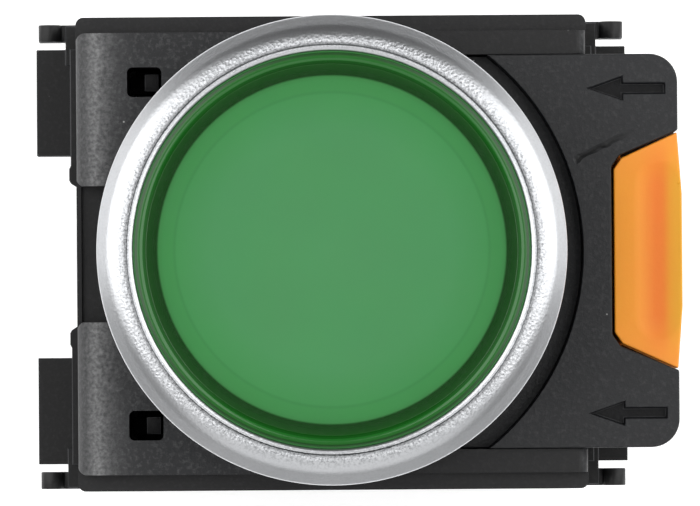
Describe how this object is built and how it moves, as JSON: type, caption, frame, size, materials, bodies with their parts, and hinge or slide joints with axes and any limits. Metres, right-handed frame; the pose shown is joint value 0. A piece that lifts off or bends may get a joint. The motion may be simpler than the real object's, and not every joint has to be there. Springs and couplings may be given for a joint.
{
  "type": "industrial push button",
  "caption": "Flush illuminated push button with satin metal bezel and green lens, rear mounting adapter with orange locking slide, and screw-terminal contact blocks.",
  "frame": {"origin": "on the push axis, at the plane where the head's gasket meets the panel front", "axes": "+Z along the push axis towards the operator, +X towards the orange grip of the locking slide, +Y towards the upper contact block"},
  "size_m": [0.0415, 0.0304, 0.0516],
  "materials": {
    "satin_chrome": "satin, pearl-blasted",
    "green_lens": "translucent, polished",
    "diffuser_white": "frosted",
    "black_polyamide": "fine spark-eroded grain",
    "black_polyamide_smooth": "smooth satin",
    "orange_polyamide": "fine grain",
    "green_polyamide": "smooth",
    "red_polyamide": "smooth",
    "seal_rubber": "matt",
    "spring_steel": "drawn wire",
    "zinc_plated_steel": "bright zinc plating",
    "copper_alloy": "stamped",
    "brass": "stamped",
    "contact_silver": "matt silver alloy",
    "circuit_board": "glass-fibre laminate with solder mask",
    "resistor_lacquer": "lacquered",
    "lamp_epoxy": "clear tinted"
  },
  "bodies": {
    "mounted_unit": {"bezel_ring": "satin_chrome", "panel_gasket": "seal_rubber", "head_barrel": "black_polyamide_smooth", "return_spring": "spring_steel", "adapter_base": "black_polyamide", "cover_plate": "black_polyamide", "make_housing": "black_polyamide", "make_cover": "black_polyamide_smooth", "make_return_spring": "spring_steel", "make_terminals": "brass", "break_housing": "black_polyamide", "break_cover": "black_polyamide_smooth", "break_return_spring": "spring_steel", "break_terminals": "brass", "fixed_tips": "contact_silver", "lamp_housing": "black_polyamide", "lamp_cover": "black_polyamide_smooth", "lamp_board": "circuit_board", "lamp_resistor": "resistor_lacquer", "lamp_led": "lamp_epoxy", "lamp_leads": "brass", "terminal_cages": "zinc_plated_steel", "terminal_screws": "zinc_plated_steel"},
    "button": {"lens_cap": "green_lens", "diffuser": "diffuser_white", "lens_carrier": "black_polyamide_smooth", "wiper_seal": "seal_rubber"},
    "make_actuator": {"make_plunger": "green_polyamide", "make_bridge": "copper_alloy", "make_moving_tips": "contact_silver", "make_contact_spring": "spring_steel"},
    "break_actuator": {"break_plunger": "red_polyamide", "break_bridge": "copper_alloy", "break_moving_tips": "contact_silver", "break_contact_spring": "spring_steel"},
    "slide": {"locking_slide": "orange_polyamide"}
  },
  "joints": [
    {"name": "button_press", "type": "slide", "parent": "mounted_unit", "child": "button", "axis": [0, 0, -1], "range_m": [0, 0.003], "stiffness_N_per_m": 500, "springref_m": -0.004, "deforming": ["return_spring"]},
    {"name": "make_travel", "type": "slide", "parent": "mounted_unit", "child": "make_actuator", "axis": [0, 0, -1], "range_m": [0, 0.003], "stiffness_N_per_m": 150, "springref_m": -0.003, "deforming": ["make_return_spring"]},
    {"name": "break_travel", "type": "slide", "parent": "mounted_unit", "child": "break_actuator", "axis": [0, 0, -1], "range_m": [0, 0.003], "stiffness_N_per_m": 150, "springref_m": -0.003, "deforming": ["break_return_spring"]},
    {"name": "lock_slide", "type": "slide", "parent": "mounted_unit", "child": "slide", "axis": [1, 0, 0], "range_m": [0, 0.0035]}
  ],
  "couplings": [
    {"joint": "make_travel", "follows": "button_press", "ratio": 1},
    {"joint": "break_travel", "follows": "button_press", "ratio": 1}
  ]
}
